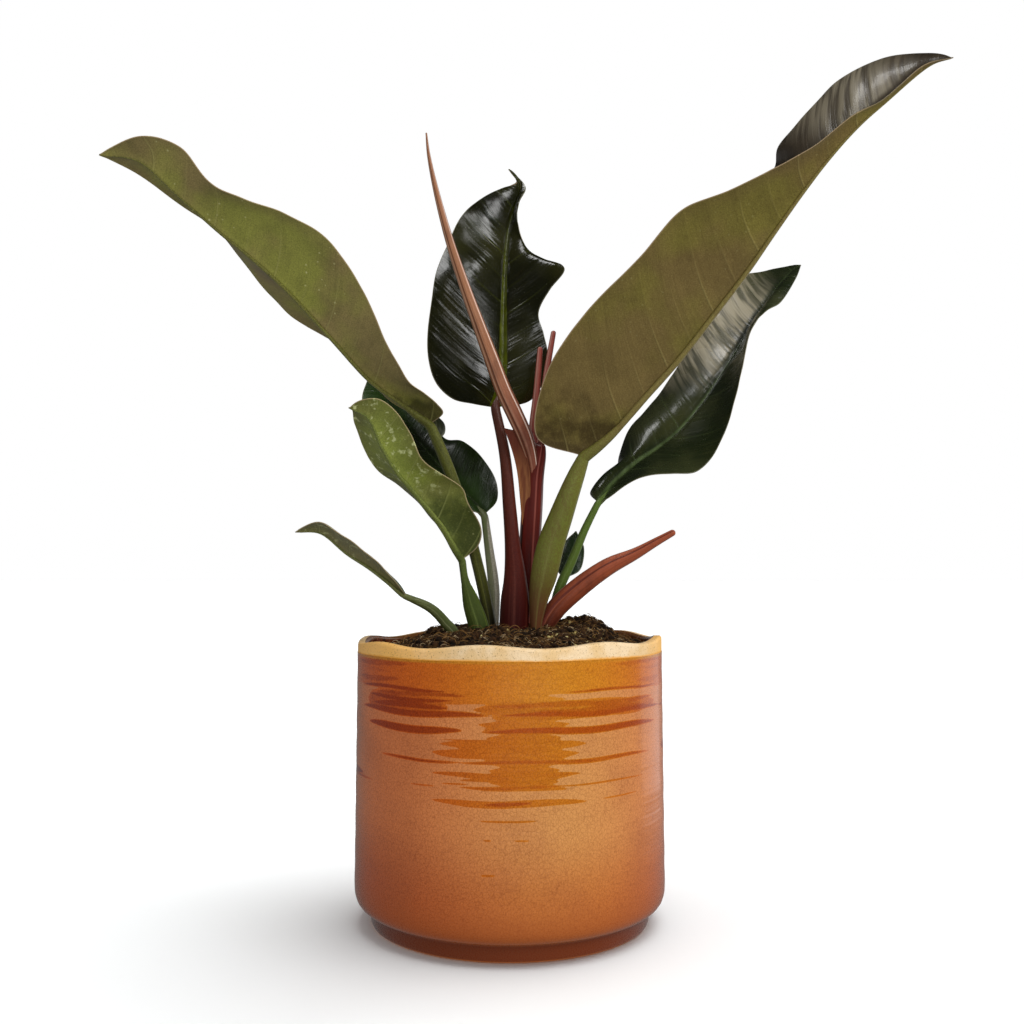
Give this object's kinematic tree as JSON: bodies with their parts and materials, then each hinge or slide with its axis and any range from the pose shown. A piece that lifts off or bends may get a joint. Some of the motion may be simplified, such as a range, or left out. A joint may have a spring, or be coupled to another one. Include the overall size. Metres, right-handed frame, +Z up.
{
  "type": "potted philodendron",
  "caption": "House plant with lance-shaped dark red and green leaves, a new shoot and a bud sheath, standing in soil in a round glazed pot with a wavy bare rim.",
  "frame": {"origin": "centre of the pot's foot, on the surface that the pot stands on", "axes": "+Z up along the pot's axis, -Y towards the plant's front, +X to the right as seen from the front, where the largest leaf points"},
  "size_m": [0.3666, 0.1665, 0.3925],
  "materials": {
    "leaf_olive": "satin leaf, olive green with a bronze blush",
    "leaf_bronze": "satin leaf underside, bronze and olive",
    "leaf_black_green": "glossy leaf, near-black green",
    "leaf_dark_green": "glossy leaf, deep green",
    "shoot_red": "smooth waxy stem, wine red to pink brown",
    "soil": "loose dark fibrous potting soil",
    "glaze": "glossy amber glaze with a fine crackle, bare cream rim"
  },
  "bodies": {
    "root": {"leaf_large_left": "leaf_olive", "leaf_large_right": "leaf_bronze", "leaf_back_centre": "leaf_black_green", "leaf_right_back": "leaf_dark_green", "leaf_medium_left": "leaf_olive", "leaf_behind_left": "leaf_dark_green", "leaf_small_low_left": "leaf_olive", "leaf_small_back_right": "leaf_dark_green", "new_shoot": "shoot_red", "bud_sheath": "shoot_red", "potting_soil": "soil", "pot": "glaze"}
  },
  "joints": []
}
